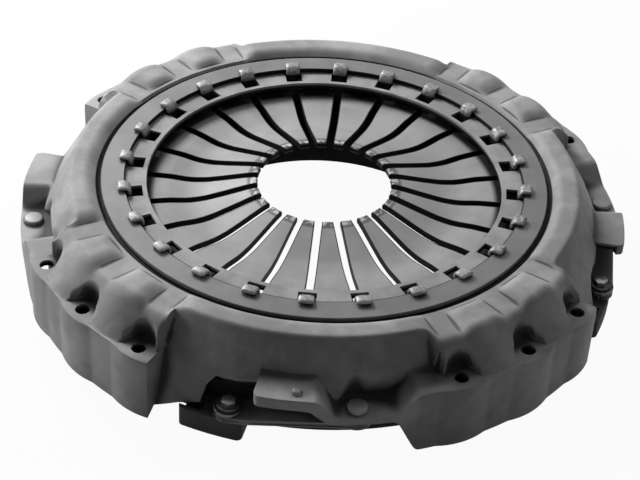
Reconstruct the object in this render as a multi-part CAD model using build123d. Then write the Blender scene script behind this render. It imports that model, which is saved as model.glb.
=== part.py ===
from build123d import *
import os
from math import atan2, cos, degrees, hypot, radians, sin, tan

# Clutch pressure plate assembly for a 430 mm truck clutch, in millimetres and degrees.
# Z = 0 is the mounting face on the flywheel and +Z points to the gearbox.
# Strap bays are centred on +X, +Y, -X and -Y; bolt bays are centred half-way between them.

# ---------------------------------------------------------------- shared layout
QUARTERS = 4
QUARTER = 360 / QUARTERS
FINGERS = 24
PITCH = 360 / FINGERS
FIT = 0.1  # radial play of a fastener in its hole

# ---------------------------------------------------------------- lugs, fulcrum and clamping ring
# Every radius below is stepped inwards or outwards from the lugs, so the layout moves as one.
LUG_IN_R = 149.6
LUG_LEG = 4.0
LUG_HALF = 6.0
LUG_HEAD_R = LUG_IN_R + 11.0
LUG_HEAD = 4.0
LUG_BEND_R = 3.0
LUG_EDGE_R = 0.8
LUG_PLAY = 0.6  # between a lug and the rings inside and outside it
WIRE = 4.0
WIRE_GAP = 0.4
FULCRUM_R = LUG_IN_R + LUG_LEG + WIRE / 2 + 1.4
SUPPORT_RING_IN_R = LUG_IN_R - 2 * LUG_PLAY
SUPPORT_RING_R = FULCRUM_R + 9.0
SUPPORT_RING = 4.5
CLAMP_IN_R = LUG_IN_R + LUG_LEG + LUG_PLAY
CLAMP_OUT_R = CLAMP_IN_R + 18.2
CLAMP_RING = 3.4
CLAMP_DISH = 0.3
FLANGE_HOLE_IN_R = LUG_IN_R - 8.6
FLANGE_HOLE_HALF = LUG_HALF + 0.8

# ---------------------------------------------------------------- pressed cover
SHEET = 6.0  # thickness of the pressed steel
FLANGE_IN_R = FLANGE_HOLE_IN_R - 3.3  # inner edge of the flat flange round the fingers
FLANGE_TOP_Z = 71.3
STEP_R = CLAMP_OUT_R + 2.1  # where the shoulder starts to rise outside the clamping ring
CREST_Z = 78.5
CREST_IN_R = STEP_R + 8.0
CREST_OUT_R = CREST_IN_R + 13.5
WALL_MID_R = CREST_OUT_R + 19.0  # the cone wall changes slope here
WALL_MID_Z = 46.5
WALL_FOOT_R = WALL_MID_R + 17.0
LOBE_STEP_R = STEP_R + 5.5
LOBE_CREST_R = LOBE_STEP_R + 8.0
LOBE_NOSE_R = LOBE_CREST_R + 16.0
LOBE_FOOT_R = LOBE_NOSE_R + 23.0
SHELF = 6.0  # level strip between the foot of a lobe and the skirt
SHELF_Z = 52.0  # height of that strip and of the bolt pockets
SKIRT_R = LOBE_FOOT_R + SHELF
CREST_ROUND = 9.0
NOSE_ROUND = 12.0
WALL_ROUND = 36.0
HOLLOW_ROUND = 3.0

BOLT_ANGLES = (-15, 0, 15)  # from the middle of a bolt bay
BOLT_CIRCLE_R = SKIRT_R - 8.0
BOLT_HOLE_R = 5.5
POCKET_R = 12.5
POCKET_DRAFT = 6.0
PAD_R = SKIRT_R + 3.0  # the skirt bulges to this radius below each bolt
PAD_BULGE_R = 55.0
VALLEY_Z = 74.2  # floor of the scoop above each bolt pocket
VALLEY_HALF = 8.5
VALLEY_SIDE = 28.0  # slope of its sides
LOBES_FROM = -18.5  # start of the lobes, from the middle of a bolt bay
SKIRT_FROM = -27.0  # ends of the skirt, from the middle of a bolt bay
SKIRT_TO = 18.5

TRAY_R = SKIRT_R + 2.0
TRAY_TOP_Z = 52.5
TRAY_LIP_Z = 43.5
TRAY_FROM = -7.0  # angles from the middle of a strap bay
TRAY_TO = 4.0
LEDGE_TOP_Z = 38.0
LEDGE_FROM = 7.0
LEDGE_TO = 17.5
RAMP_TO = 21.5
RAMP_LAP = 5.8  # the sheet of the ramp runs on to the first bolt pocket by this angle
TRAY_CORNER = 5.0
TOOL_R = 15.0  # recess in the wall beside each rivet
RECESS_R = WALL_MID_R - 3.6  # its upright back wall
CUT_R = STEP_R + 15.5  # inside every wall and skirt
# Lower edge of the wall beside the plate ear, then up and over the window: radius, angle, height.
WING_EDGE = (
    (SKIRT_R, SKIRT_TO - QUARTER / 2, 8.0),
    (SKIRT_R - 7.0, -21.7, 16.4),
    (SKIRT_R - 10.5, -17.5, 22.5),
)
WINDOW_EDGE = (
    (WALL_MID_R + 3.0, -17.0, 36.0),
    (WALL_MID_R + 0.5, -15.4, 44.5),
    (WALL_MID_R - 2.5, TRAY_FROM, 49.0),
)

# ---------------------------------------------------------------- diaphragm spring
SPRING = 5.0  # thickness of the diaphragm spring
FINGER_ROUND = 60.0
SPRING_RIM_R = FULCRUM_R + 34.0
CONE_ANGLE = 5.0  # slope of the unloaded spring outside the fulcrum
FULCRUM_Z = FLANGE_TOP_Z - SHEET - WIRE - WIRE_GAP - SPRING / 2
# Middle layer of a finger from its root to its tip: distance inwards and height from the fulcrum.
FINGER_LINE = ((21.0, -0.3), (36.0, -0.4), (52.0, -2.0), (65.0, -0.6), (78.0, 2.4), (99.0, 7.6), (104.0, 8.2))
TIP_ROUND = 1.1
SLOT_HALF = 2.2
KEYHOLE_IN_R = FLANGE_HOLE_IN_R
KEYHOLE_HALF = 7.5
SLOT_END_R = KEYHOLE_IN_R - 2.0
CUT_GAP = 0.6  # between neighbouring levers outside the slots

# ---------------------------------------------------------------- pressure plate
PLATE_IN_R = FULCRUM_R - 42.0
PLATE_R = SKIRT_R - 17.0
FACE_Z = 8.0  # friction face
RIM_TOP_Z = 17.0
BODY_R = PLATE_R - 13.0
BODY_TOP_Z = 30.0
BODY_CHAMFER = 3.0
RIDGE_R = SPRING_RIM_R - 4.0
RIDGE = 8.0
RIDGE_GAP = 0.5  # leaves room for the corners of a lever as it tilts
RIDGE_SLOTS = 12
RIDGE_SLOT = 14.0
EAR_FROM = -21.0
EAR_TO = -9.0
EAR_R = SKIRT_R - 2.0
EAR_LOW_Z = 3.5
EAR_TOP_Z = 20.0
EAR_CORNER = 4.0
RELIEF_IN_R = PLATE_R - 4.0  # step in the ear below the edge of the cover wall
RELIEF_OUT_R = EAR_R - 3.5
RELIEF_TO = -16.8
RELIEF_Z = 11.0

# ---------------------------------------------------------------- straps and their fasteners
LEAVES = 3
LEAF = 1.5  # thickness of one leaf
STRAP_HALF = 10.5
STRAP_FLAT = 13.0  # flat length each side of a hole
PLATE_HOLE_ANGLE = -12.0
PLATE_HOLE_R = BOLT_CIRCLE_R - 2.5
RIVET_ANGLE = 11.0
RIVET_CIRCLE_R = BOLT_CIRCLE_R
SHANK_R = 5.0
RIVET_HEAD_R = 8.0
RIVET_HEAD = 3.4
RIVET_FOOT_R = 7.4
RIVET_FOOT = 3.0
WASHER_R = 10.5
WASHER = 2.5
COLLAR_R = 8.2
COLLAR = 2.4
CAP_R = 5.6
CAP = 3.2
THREAD_DEPTH = 13.0
BALANCE_ANGLE = 0.3
BALANCE_CIRCLE_R = TRAY_R - 9.0
BALANCE_R = 4.2
BALANCE_TOP_R = 2.9
BALANCE_HEAD = 2.6
BALANCE_SHANK_R = 2.5

BIG_R = SKIRT_R + 27.0  # beyond everything
HIGH_Z = CREST_Z + 11.5
LOW_Z = -20.0
STRAP_BAYS = [QUARTER * k for k in range(QUARTERS)]
BOLT_BAYS = [QUARTER * (k + 0.5) for k in range(QUARTERS)]


# ---------------------------------------------------------------- helpers
def polar(radius, angle, z=0.0):
    return Vector(radius * cos(radians(angle)), radius * sin(radians(angle)), z)


def across(radius, angle):
    """Sideways distance of a point on a circle from the middle line of its bay."""
    return radius * sin(radians(angle))


def inset(points, distance):
    """Open outline moved square to itself, to the right of its direction, with mitred corners."""
    moved = []
    for (x0, y0), (x1, y1) in zip(points, points[1:]):
        length = hypot(x1 - x0, y1 - y0)
        shift = Vector((y1 - y0) / length, (x0 - x1) / length) * distance
        moved.append((Vector(x0, y0) + shift, Vector(x1, y1) + shift))
    corners = [moved[0][0]]
    for (a, b), (c, d) in zip(moved, moved[1:]):
        along, onward = b - a, d - c
        reach = (c - a).cross(onward).Z / along.cross(onward).Z
        corners.append(a + along * reach)
    corners.append(moved[-1][1])
    return [(p.X, p.Y) for p in corners]


def swept(face, start, end):
    """A face drawn in (radius, height), turned about the axis from one angle to another."""
    return Rot(Z=start) * revolve(Plane.XZ * face, Axis.Z, end - start)


def ring(inner, outer, low, high, start=0.0, end=360.0):
    face = Polygon((inner, low), (outer, low), (outer, high), (inner, high), align=None)
    return swept(face, start, end)


def below(skin, rounds):
    """Face under a rounded skin line given in (radius, height), down to below the mounting face."""
    line = FilletPolyline(*skin, radius=rounds)
    start, end = skin[0], skin[-1]
    base = Polyline(end, (end[0], LOW_Z), (start[0], LOW_Z), start)
    return make_face(line + base)


def inset_rounds(rounds, offset):
    """Corner radii of an inset skin line: a bulge (plus) shrinks, a hollow (minus) stays."""
    return [max(r - offset, 0) if r > 0 else -r for r in rounds]


def along_bay(points, angle, inner, outer):
    """An outline drawn in (sideways distance, height), extruded outwards along the middle line of a bay."""
    face = Plane((inner, 0, 0), x_dir=(0, 1, 0), z_dir=(1, 0, 0)) * make_face(Polyline(*points, close=True))
    return Rot(Z=angle) * extrude(face, amount=outer - inner)


def disc(radius, angle, circle_r, low, high):
    upright = Cylinder(radius, high - low, align=(Align.CENTER, Align.CENTER, Align.MIN))
    return Pos(polar(circle_r, angle, low)) * upright


def repeated(solid, angles):
    return [Rot(Z=a) * solid for a in angles]


# ---------------------------------------------------------------- cover
def crown(offset):
    """Strap bay form of the cover: flat flange, round shoulder and cone wall, inset by offset."""
    skin = [
        (STEP_R - SHEET, FLANGE_TOP_Z),
        (STEP_R, FLANGE_TOP_Z),
        (CREST_IN_R, CREST_Z),
        (CREST_OUT_R, CREST_Z),
        (WALL_MID_R, WALL_MID_Z),
        (WALL_FOOT_R, -SHEET),
    ]
    rounds = inset_rounds([-HOLLOW_ROUND, CREST_ROUND, NOSE_ROUND, WALL_ROUND], offset)
    return below(inset(skin, offset), rounds)


def lobe(offset):
    """Bolt bay form of the cover: flat flange, round lobe and shelf, inset by offset."""
    skin = [
        (STEP_R - SHEET, FLANGE_TOP_Z),
        (LOBE_STEP_R, FLANGE_TOP_Z),
        (LOBE_CREST_R, CREST_Z),
        (LOBE_NOSE_R, CREST_Z),
        (LOBE_FOOT_R, SHELF_Z),
        (SKIRT_R, SHELF_Z),
        (SKIRT_R, -SHEET),
    ]
    rounds = inset_rounds([-HOLLOW_ROUND, CREST_ROUND, NOSE_ROUND, -HOLLOW_ROUND, 0], offset)
    return below(inset(skin, offset), rounds)


def valley(offset):
    """Channel cut between two lobes, above a bolt."""
    floor = VALLEY_Z - offset
    half = VALLEY_HALF + offset * tan(radians(VALLEY_SIDE / 2))
    rise = (HIGH_Z - floor) / tan(radians(VALLEY_SIDE))
    points = [(-half, floor), (half, floor), (half + rise, HIGH_Z), (-half - rise, HIGH_Z)]
    return along_bay(points, 0, STEP_R + HOLLOW_ROUND - offset, BIG_R)


def pocket(offset):
    """Pocket for a bolt head, open to the outside."""
    radius = POCKET_R + offset
    plan = Circle(radius) + Pos(radius, 0) * Rectangle(2 * radius, 2 * radius)
    floor = SHELF_Z - offset
    return Pos(BOLT_CIRCLE_R, 0, floor) * extrude(plan, amount=HIGH_Z - floor, taper=-POCKET_DRAFT)


def cover_form(offset):
    """The whole outer form of the cover, inset by offset; the sheet lies between two such forms."""
    turn = degrees(offset / SKIRT_R)
    inner = FLANGE_IN_R if offset == 0 else FLANGE_IN_R - SHEET
    form = ring(inner, STEP_R, -SHEET, FLANGE_TOP_Z - offset)
    lobes = swept(lobe(offset), LOBES_FROM + turn, SKIRT_TO - turn)
    pad = disc(PAD_BULGE_R - offset, 0, PAD_R - PAD_BULGE_R, LOW_Z, SHELF_Z - offset)
    bulges = disc(SKIRT_R - offset, 0, 0, LOW_Z, SHELF_Z - offset) + repeated(pad, BOLT_ANGLES)
    bay = lobes + (bulges & ring(CUT_R, BIG_R, LOW_Z, HIGH_Z, SKIRT_FROM - turn, SKIRT_TO - turn))
    shoulder = swept(crown(offset), SKIRT_TO - QUARTER / 2 - turn, QUARTER / 2 + LOBES_FROM + turn)
    form += repeated(shoulder, STRAP_BAYS)
    form += repeated(bay, BOLT_BAYS)
    scoop = valley(offset) + pocket(offset)
    return form - [Rot(Z=b + a) * scoop for b in BOLT_BAYS for a in BOLT_ANGLES]


def ledge_line():
    """Upper line of the tray, joggle, rivet ledge and ramp in (sideways distance, height)."""
    corners = (
        (TRAY_FROM, TRAY_TOP_Z),
        (TRAY_TO, TRAY_TOP_Z),
        (LEDGE_FROM, LEDGE_TOP_Z),
        (LEDGE_TO, LEDGE_TOP_Z),
        (RAMP_TO, SHELF_Z),
        (RAMP_TO + RAMP_LAP, SHELF_Z),
    )
    return [(across(BOLT_CIRCLE_R, angle), z) for angle, z in corners]


def ledge_ribbon(angle):
    """One strip of sheet bent along the circumference, with a lip below the edge of the tray."""
    top = ledge_line()
    start, end = top[0][0], top[-1][0]
    span = Rectangle(BIG_R - STEP_R, end - start)
    plan = Circle(TRAY_R) & Pos((STEP_R + BIG_R) / 2, (start + end) / 2) * span
    plan = fillet(plan.vertices().sort_by_distance((TRAY_R, start))[0], TRAY_CORNER)
    beyond = [polar(TRAY_R, LEDGE_TO), polar(BIG_R, LEDGE_TO), polar(BIG_R, RAMP_TO + RAMP_LAP)]
    beyond += [polar(SKIRT_R, RAMP_TO + RAMP_LAP), polar(SKIRT_R, RAMP_TO)]
    plan -= make_face(Polyline(*beyond, close=True))
    column = extrude(plan, amount=HIGH_Z)
    strip = along_bay(top + inset(top, SHEET)[::-1], 0, STEP_R, BIG_R)
    lip_box = Pos(TRAY_R, (start + top[1][0]) / 2, (TRAY_TOP_Z + TRAY_LIP_Z) / 2) * Box(
        TRAY_R - WALL_MID_R, top[1][0] - start, TRAY_TOP_Z - TRAY_LIP_Z
    )
    lip = lip_box - Cylinder(TRAY_R - SHEET, 4 * HIGH_Z)
    return Rot(Z=angle) * ((strip + lip) & column)


def recess(offset):
    """Room cut from the wall for the rivet tool and the ramp, grown by offset."""
    tool = disc(TOOL_R + offset, RIVET_ANGLE, RIVET_CIRCLE_R, LEDGE_TOP_Z - offset, CREST_Z)
    foot, head = inset(ledge_line()[2:], offset)[1:3]
    start = across(BOLT_CIRCLE_R, RIVET_ANGLE)
    points = [(start, foot[1]), foot, head, (start, head[1])]
    return tool + along_bay(points, 0, CUT_R, BIG_R) - Cylinder(RECESS_R - offset, 4 * HIGH_Z)


def strap_bay_cut():
    """Everything cut away below a strap bay: window, space for the straps, slanted edges beside them."""
    edge = [(across(radius, angle), z) for radius, angle, z in WING_EDGE + WINDOW_EDGE]
    ledge = inset(ledge_line(), SHEET)
    below_tray = [(ledge[0][0], TRAY_LIP_Z), (ledge[1][0], TRAY_LIP_Z), ledge[2]]
    skirt_end = [(across(SKIRT_R, LEDGE_TO), ledge[3][1]), (across(SKIRT_R, RAMP_TO), 0)]
    low = [(skirt_end[1][0], LOW_Z), (edge[0][0], LOW_Z)]
    return along_bay(edge + below_tray + skirt_end + low, 0, CUT_R, BIG_R)


def cover():
    outside = cover_form(0) - repeated(recess(0), STRAP_BAYS)
    inside = cover_form(SHEET) - repeated(recess(SHEET), STRAP_BAYS)
    shell = outside - inside - repeated(strap_bay_cut(), STRAP_BAYS)
    shell += [ledge_ribbon(a) - inside for a in STRAP_BAYS]
    shell -= disc(BIG_R, 0, 0, 2 * LOW_Z, 0)
    bolt_hole = disc(BOLT_HOLE_R, 0, BOLT_CIRCLE_R, -SHEET, HIGH_Z)
    rivet_hole = disc(SHANK_R + FIT, RIVET_ANGLE, RIVET_CIRCLE_R, -SHEET, LEDGE_TOP_Z + SHEET)
    balance_hole = disc(BALANCE_SHANK_R + FIT, BALANCE_ANGLE, BALANCE_CIRCLE_R, -SHEET, HIGH_Z)
    lug_hole = Pos((FLANGE_HOLE_IN_R + CLAMP_IN_R) / 2, 0, FLANGE_TOP_Z) * Box(
        CLAMP_IN_R - FLANGE_HOLE_IN_R, 2 * FLANGE_HOLE_HALF, 4 * SHEET
    )
    shell -= [Rot(Z=b + a) * bolt_hole for b in BOLT_BAYS for a in BOLT_ANGLES]
    shell -= repeated(rivet_hole, STRAP_BAYS)
    shell -= Rot(Z=STRAP_BAYS[3]) * balance_hole
    shell -= repeated(lug_hole, [PITCH * k for k in range(FINGERS)])
    return shell


# ---------------------------------------------------------------- fulcrum and clamping pieces
def wire_ring(z):
    section = Plane.XZ * Pos(FULCRUM_R, z) * Circle(WIRE / 2)
    return revolve(section, Axis.Z, 360)


def support_ring():
    """Flat ring under the spring with lugs that stand up through cover and spring and bend outwards."""
    ring_top = FULCRUM_Z - SPRING / 2 - WIRE_GAP - WIRE
    head_low = FLANGE_TOP_Z + CLAMP_RING + CLAMP_DISH
    leg_out = LUG_IN_R + LUG_LEG
    leg = [
        (LUG_IN_R, ring_top - SUPPORT_RING),
        (LUG_IN_R, head_low + LUG_HEAD),
        (LUG_HEAD_R, head_low + LUG_HEAD),
        (LUG_HEAD_R, head_low),
        (leg_out, head_low),
        (leg_out, ring_top - SUPPORT_RING),
    ]
    rounds = [0, LUG_BEND_R, LUG_EDGE_R, LUG_EDGE_R, 0, 0]
    side = make_face(FilletPolyline(*leg, radius=rounds, close=True))
    lug = extrude(Plane.XZ * side, amount=LUG_HALF, both=True)
    base = ring(SUPPORT_RING_IN_R, SUPPORT_RING_R, ring_top - SUPPORT_RING, ring_top)
    return base + repeated(lug, [PITCH * k for k in range(FINGERS)])


def clamping_ring():
    """Slightly dished flat ring that the lug heads hold down on the cover flange."""
    low = FLANGE_TOP_Z
    face = Polygon(
        (CLAMP_IN_R, low + CLAMP_DISH),
        (CLAMP_OUT_R, low),
        (CLAMP_OUT_R, low + CLAMP_RING),
        (CLAMP_IN_R, low + CLAMP_RING + CLAMP_DISH),
        align=None,
    )
    return swept(face, 0, 360)


# ---------------------------------------------------------------- diaphragm spring
def spring_middle():
    """Middle layer of the spring in (radius, height), from the tip out to the rim."""
    rim_z = FULCRUM_Z - (SPRING_RIM_R - FULCRUM_R) * tan(radians(CONE_ANGLE))
    line = [(FULCRUM_R - inwards, FULCRUM_Z + h) for inwards, h in reversed(FINGER_LINE)]
    return line + [(FULCRUM_R, FULCRUM_Z), (SPRING_RIM_R, rim_z)]


def spring_section():
    """Section of one finger and its share of the rim, with softly bent faces and a rounded tip."""
    middle = spring_middle()
    bends = [FINGER_ROUND] * (len(middle) - 3) + [0]
    top = FilletPolyline(*inset(middle, -SPRING / 2), radius=bends)
    bottom = FilletPolyline(*inset(middle, SPRING / 2), radius=bends)
    tip = ThreePointArc(bottom @ 0, (middle[0][0] - TIP_ROUND, middle[0][1]), top @ 0)
    return make_face(top + bottom + tip + Line(top @ 1, bottom @ 1))


def spring_lever():
    """One finger with its share of the rim, centred on +X."""
    lever = swept(spring_section(), -PITCH / 2, PITCH / 2)
    keyhole_out_r = FULCRUM_R - WIRE / 2
    keyhole = Box(keyhole_out_r - KEYHOLE_IN_R, 2 * KEYHOLE_HALF, HIGH_Z)
    keyhole = Pos((keyhole_out_r + KEYHOLE_IN_R) / 2, 0) * keyhole
    slot = Pos(SLOT_END_R / 2, 0) * Box(SLOT_END_R, 2 * SLOT_HALF, HIGH_Z)
    slot += Pos(SLOT_END_R, 0) * Cylinder(SLOT_HALF, HIGH_Z)
    cut = Pos(SPRING_RIM_R / 2, 0) * Box(SPRING_RIM_R + WIRE, CUT_GAP, HIGH_Z)
    gap = Pos(0, 0, FULCRUM_Z) * (slot + keyhole + cut)
    return lever - [Rot(Z=side * PITCH / 2) * gap for side in (-1, 1)]


# ---------------------------------------------------------------- pressure plate
def ridge_top_z():
    slope = radians(CONE_ANGLE)
    return FULCRUM_Z - (RIDGE_R - FULCRUM_R) * tan(slope) - SPRING / 2 / cos(slope) - RIDGE_GAP


def pressure_plate():
    """Cast ring with friction face, raised fulcrum ridge and four ears for the straps."""
    chamfer = BODY_CHAMFER
    body = [
        (PLATE_IN_R, FACE_Z),
        (PLATE_R - chamfer / 2, FACE_Z),
        (PLATE_R, FACE_Z + chamfer / 2),
        (PLATE_R, RIM_TOP_Z),
        (BODY_R + chamfer, RIM_TOP_Z),
        (BODY_R, BODY_TOP_Z),
        (PLATE_IN_R + chamfer, BODY_TOP_Z),
        (PLATE_IN_R, BODY_TOP_Z - chamfer),
    ]
    plate = swept(make_face(Polyline(*body, close=True)), 0, 360)
    top = ridge_top_z()
    crown_height = RIDGE / 6
    ridge = [
        (RIDGE_R - RIDGE, BODY_TOP_Z - chamfer),
        (RIDGE_R + RIDGE, BODY_TOP_Z - chamfer),
        (RIDGE_R + RIDGE / 2, top - crown_height),
        (RIDGE_R + RIDGE / 4, top),
        (RIDGE_R - RIDGE / 4, top),
        (RIDGE_R - RIDGE / 2, top - crown_height),
    ]
    crest = swept(make_face(Polyline(*ridge, close=True)), 0, 360)
    slot = Pos(RIDGE_R, 0, BODY_TOP_Z + RIDGE) * Box(
        4 * RIDGE, RIDGE_SLOT, HIGH_Z, align=(Align.CENTER, Align.CENTER, Align.MIN)
    )
    plate += crest - repeated(slot, [360 / RIDGE_SLOTS * (k + 0.5) for k in range(RIDGE_SLOTS)])
    ear = ring(BODY_R - chamfer, EAR_R, EAR_LOW_Z, EAR_TOP_Z, EAR_FROM, EAR_TO)
    upright = ear.edges().filter_by(Axis.Z)
    ear = fillet(upright.sort_by(lambda edge: hypot(edge.center().X, edge.center().Y))[-2:], EAR_CORNER)
    ear -= ring(BODY_R - 2 * chamfer, PLATE_R - chamfer, LOW_Z, FACE_Z, EAR_FROM - 1, EAR_TO + 1)
    thread = disc(SHANK_R + FIT, PLATE_HOLE_ANGLE, PLATE_HOLE_R, EAR_TOP_Z - THREAD_DEPTH - FIT, HIGH_Z)
    relief = ring(RELIEF_IN_R, RELIEF_OUT_R, RELIEF_Z, HIGH_Z, EAR_FROM - 1, RELIEF_TO)
    plate += repeated(ear, STRAP_BAYS)
    return plate - repeated(thread + relief, STRAP_BAYS)


# ---------------------------------------------------------------- straps
def strap_leaf(level):
    """One leaf of the strap pack, joggled from the plate ear up to the cover ledge."""
    start = polar(PLATE_HOLE_R, PLATE_HOLE_ANGLE)
    end = polar(RIVET_CIRCLE_R, RIVET_ANGLE)
    run = end - start
    low = EAR_TOP_Z + level * LEAF
    high = LEDGE_TOP_Z - SHEET - (LEAVES - level) * LEAF
    bottom = [
        (-2 * STRAP_FLAT, low),
        (STRAP_FLAT, low),
        (run.length - STRAP_FLAT, high),
        (run.length + 2 * STRAP_FLAT, high),
    ]
    side = make_face(Polyline(*bottom, *[(x, z + LEAF) for x, z in reversed(bottom)], close=True))
    strip = extrude(Plane.XZ * side, amount=2 * STRAP_HALF, both=True)
    outline = Pos(run.length / 2, 0) * SlotCenterToCenter(run.length, 2 * STRAP_HALF)
    outline -= Circle(SHANK_R + FIT) + Pos(run.length, 0) * Circle(SHANK_R + FIT)
    leaf = strip & extrude(outline, amount=HIGH_Z)
    return Pos(start) * Rot(Z=degrees(atan2(run.Y, run.X))) * leaf


def rivet():
    axis = Pos(polar(RIVET_CIRCLE_R, RIVET_ANGLE))
    under = LEDGE_TOP_Z - SHEET - LEAVES * LEAF
    edge = RIVET_HEAD / 3
    outline = Polyline(
        (0, under - RIVET_FOOT),
        (RIVET_FOOT_R - edge, under - RIVET_FOOT),
        (RIVET_FOOT_R, under - RIVET_FOOT + edge),
        (RIVET_FOOT_R, under),
        (SHANK_R, under),
        (SHANK_R, LEDGE_TOP_Z),
        (RIVET_HEAD_R, LEDGE_TOP_Z),
        (RIVET_HEAD_R, LEDGE_TOP_Z + RIVET_HEAD - edge),
        (RIVET_HEAD_R - edge, LEDGE_TOP_Z + RIVET_HEAD),
        (0, LEDGE_TOP_Z + RIVET_HEAD),
        close=True,
    )
    return axis * revolve(Plane.XZ * make_face(outline), Axis.Z, 360)


def strap_stack_z():
    return EAR_TOP_Z + LEAVES * LEAF


def washer():
    low = strap_stack_z()
    blank = disc(WASHER_R, PLATE_HOLE_ANGLE, PLATE_HOLE_R, low, low + WASHER)
    return blank - disc(SHANK_R + FIT, PLATE_HOLE_ANGLE, PLATE_HOLE_R, low - WASHER, low + 2 * WASHER)


def plate_bolt():
    head = strap_stack_z() + WASHER
    bolt = disc(SHANK_R, PLATE_HOLE_ANGLE, PLATE_HOLE_R, EAR_TOP_Z - THREAD_DEPTH, head)
    bolt += disc(COLLAR_R, PLATE_HOLE_ANGLE, PLATE_HOLE_R, head, head + COLLAR)
    cap = extrude(RegularPolygon(CAP_R, 6), amount=CAP)
    return bolt + Pos(polar(PLATE_HOLE_R, PLATE_HOLE_ANGLE, head + COLLAR)) * cap


def balance_rivet():
    shank = disc(BALANCE_SHANK_R, BALANCE_ANGLE, BALANCE_CIRCLE_R, TRAY_TOP_Z - SHEET, TRAY_TOP_Z)
    head = Pos(polar(BALANCE_CIRCLE_R, BALANCE_ANGLE, TRAY_TOP_Z)) * Cone(
        BALANCE_R, BALANCE_TOP_R, BALANCE_HEAD, align=(Align.CENTER, Align.CENTER, Align.MIN)
    )
    return Rot(Z=STRAP_BAYS[3]) * (shank + head)


# ---------------------------------------------------------------- assembly
def solids_of(shapes):
    return Compound(children=[solid for shape in shapes for solid in shape.solids()])


def assembly():
    wire_drop = SPRING / 2 + WIRE_GAP + WIRE / 2
    nodes = {
        "cover": cover(),
        "clamping_ring": clamping_ring(),
        "support_ring": support_ring(),
        "upper_fulcrum_ring": wire_ring(FULCRUM_Z + wire_drop),
        "lower_fulcrum_ring": wire_ring(FULCRUM_Z - wire_drop),
        "pressure_plate": pressure_plate(),
        "cover_rivets": solids_of(repeated(rivet(), STRAP_BAYS)),
        "balance_rivet": balance_rivet(),
        "plate_bolts": solids_of(repeated(plate_bolt(), STRAP_BAYS)),
        "bolt_washers": solids_of(repeated(washer(), STRAP_BAYS)),
    }
    pack = [strap_leaf(level) for level in range(LEAVES)]
    for name, angle in zip(("right", "back", "left", "front"), STRAP_BAYS):
        nodes[f"strap_pack_{name}"] = solids_of([Rot(Z=angle) * leaf for leaf in pack])
    lever = spring_lever()
    for k in range(FINGERS):
        nodes[f"diaphragm_lever_{k + 1:02d}"] = Rot(Z=PITCH * (k + 0.5)) * lever
    return nodes


os.makedirs("parts", exist_ok=True)
for node, shape in assembly().items():
    shape.label = node
    export_step(shape, f"parts/{node}.step")
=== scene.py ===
import math

import bmesh
import bpy
import numpy as np
from mathutils import Matrix, Vector


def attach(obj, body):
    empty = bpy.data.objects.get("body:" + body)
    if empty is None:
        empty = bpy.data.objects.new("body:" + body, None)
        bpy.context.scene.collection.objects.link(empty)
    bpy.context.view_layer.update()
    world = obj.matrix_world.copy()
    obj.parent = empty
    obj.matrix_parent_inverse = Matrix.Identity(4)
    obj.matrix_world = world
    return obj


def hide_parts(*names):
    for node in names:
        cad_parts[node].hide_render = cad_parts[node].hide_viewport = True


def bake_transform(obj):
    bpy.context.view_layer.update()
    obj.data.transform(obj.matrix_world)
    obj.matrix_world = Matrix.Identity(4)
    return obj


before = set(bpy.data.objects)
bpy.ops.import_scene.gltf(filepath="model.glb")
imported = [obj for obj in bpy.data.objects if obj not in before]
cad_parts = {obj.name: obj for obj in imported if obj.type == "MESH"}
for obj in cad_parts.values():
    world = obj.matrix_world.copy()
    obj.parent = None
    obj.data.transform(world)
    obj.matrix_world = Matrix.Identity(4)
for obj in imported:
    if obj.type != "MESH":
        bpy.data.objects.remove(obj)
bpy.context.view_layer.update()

# ---------------------------------------------------------------- layout, in millimetres and degrees
# Angles of the cover run from the middle line of a strap bay; one quarter spans TRAY_FROM to TRAY_FROM + 90.
MM = 0.001
QUARTERS = 4
FINGERS = 24
PITCH = 360 / FINGERS
BOLT_R = 225.0
BOLT_HOLE_R = 5.5
BOLT_ANGLES = (30.0, 45.0, 60.0)
RIVET_ANGLE = 11.0
PLATE_BOLT_ANGLE = -12.0
PLATE_BOLT_R = 222.5
STRAP_Z = 28.0  # height at which the leaves' bend is taken
STRAP_FLAT = 13.0  # flat length of a strap each side of a hole
STRAP_CUTS = 11  # cuts across a strap, so that it can bend
SLOT_HALF, SLOT_END_R = 2.85, 141.1  # half width of the slots between fingers, and the radius they reach

# ---------------------------------------------------------------- pressed cover
SHEET = 5.0
FLANGE_Z = 71.3
# Radii of the rows of points on the flange, and on the crown, which is the ramp and crest outside it.
FLANGE_ROWS = (137.7, 138.4, 141.0, 144.6, 148.4, 152.4, 156.0, 158.5, 164.0, 171.0)
CROWN_ROWS = (
    172.4, 173.6, 174.6, 175.6, 176.8, 178.2, 179.8, 181.4, 183.0, 184.8, 187.0, 189.6, 192.2, 194.4,
    196.4, 198.4, 200.4, 202.4, 204.2, 205.5,
)
HOLE_ROWS = (2, 6)  # rows of the flange at the inner and outer edge of the lug holes
LUG_HOLE_HALF, LUG_HOLE_ANGLE = 6.8, 2.6  # half width of a lug hole, and the columns that stand on its sides
NEAR = 0.01  # angle within which a column counts as the side of a lug hole
HOLE_REACH = 3.0  # a bolt hole is cut in the points that are this near the height of its shelf
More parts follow.
